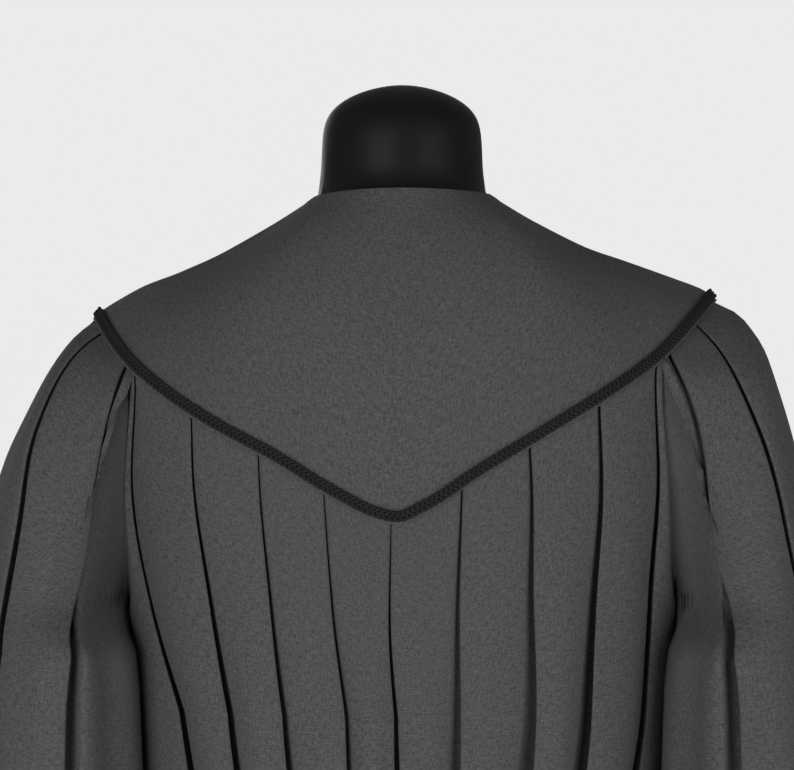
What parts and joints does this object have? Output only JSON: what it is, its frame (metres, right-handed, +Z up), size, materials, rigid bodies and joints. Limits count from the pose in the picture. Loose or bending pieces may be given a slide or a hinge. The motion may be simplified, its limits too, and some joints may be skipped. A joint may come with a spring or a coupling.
{
  "type": "graduation gown on a dress form",
  "caption": "Full-length knife-pleated graduation gown with a pointed braided yoke, bell sleeves and a front zip, on a limbless dress form.",
  "frame": {"origin": "centre of the stand base's underside, on the floor", "axes": "+Z up along the stand's pole, +Y out of the gown's front, +X towards the gown's right side"},
  "size_m": [0.7405, 0.4977, 1.582],
  "materials": {
    "charcoal_cloth": "matte woven",
    "black_braid": "twisted cord",
    "zip_tape": "woven tape",
    "zip_teeth": "satin",
    "zip_metal": "satin",
    "form_gloss": "gloss",
    "stand_metal": "satin"
  },
  "bodies": {
    "gown_and_form": {"yoke_back": "charcoal_cloth", "yoke_front_left": "charcoal_cloth", "yoke_front_right": "charcoal_cloth", "back_panel": "charcoal_cloth", "front_left": "charcoal_cloth", "front_right": "charcoal_cloth", "sleeve_left": "charcoal_cloth", "sleeve_right": "charcoal_cloth", "braid_back": "black_braid", "braid_front_left": "black_braid", "braid_front_right": "black_braid", "zip_tape_left": "zip_tape", "zip_tape_right": "zip_tape", "zip_chain": "zip_teeth", "zip_slider": "zip_metal", "form": "form_gloss", "stand_pole": "stand_metal", "stand_base": "stand_metal"},
    "zip_pull": {"zip_pull": "zip_metal"}
  },
  "joints": [
    {"name": "zip_pull_hinge", "type": "hinge", "parent": "gown_and_form", "child": "zip_pull", "pos_m": [0, 0.09236, 1.4311], "axis": [1, 0, 0], "range_deg": [0, 150]}
  ]
}
